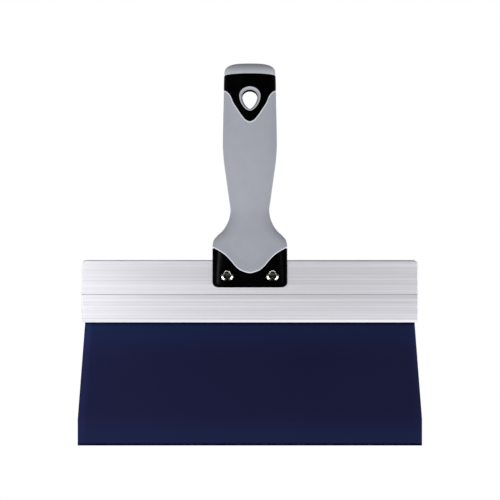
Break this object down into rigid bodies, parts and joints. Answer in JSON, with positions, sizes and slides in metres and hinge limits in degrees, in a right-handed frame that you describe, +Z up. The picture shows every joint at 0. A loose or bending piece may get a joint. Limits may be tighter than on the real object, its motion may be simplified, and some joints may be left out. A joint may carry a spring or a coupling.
{
  "type": "drywall taping knife",
  "caption": "Wide flat blued-steel blade held in an aluminium back bar, with a two-colour soft-grip handle riveted across it and a hang hole in its butt.",
  "frame": {"origin": "seat at the roof of the hang hole, halfway through the handle's thickness: where a hook bears", "axes": "+Z up the handle towards its butt, -Z towards the blade's working edge, X along that edge, -Y out of the front, which shows the rolled ends of the rivets"},
  "size_m": [0.254, 0.0266, 0.2817],
  "materials": {
    "blued_steel": "satin",
    "mill_aluminium": "satin",
    "hard_black": "satin",
    "soft_grey": "matte",
    "nickel_plate": "polished"
  },
  "bodies": {
    "root": {"blade": "blued_steel", "back_bar": "mill_aluminium", "handle_core": "hard_black", "grip_sleeve": "soft_grey", "end_cap": "soft_grey", "hang_ring_front": "soft_grey", "hang_ring_rear": "soft_grey", "rivet_left": "nickel_plate", "rivet_right": "nickel_plate", "rivet_washer_left": "nickel_plate", "rivet_washer_right": "nickel_plate"}
  },
  "joints": []
}
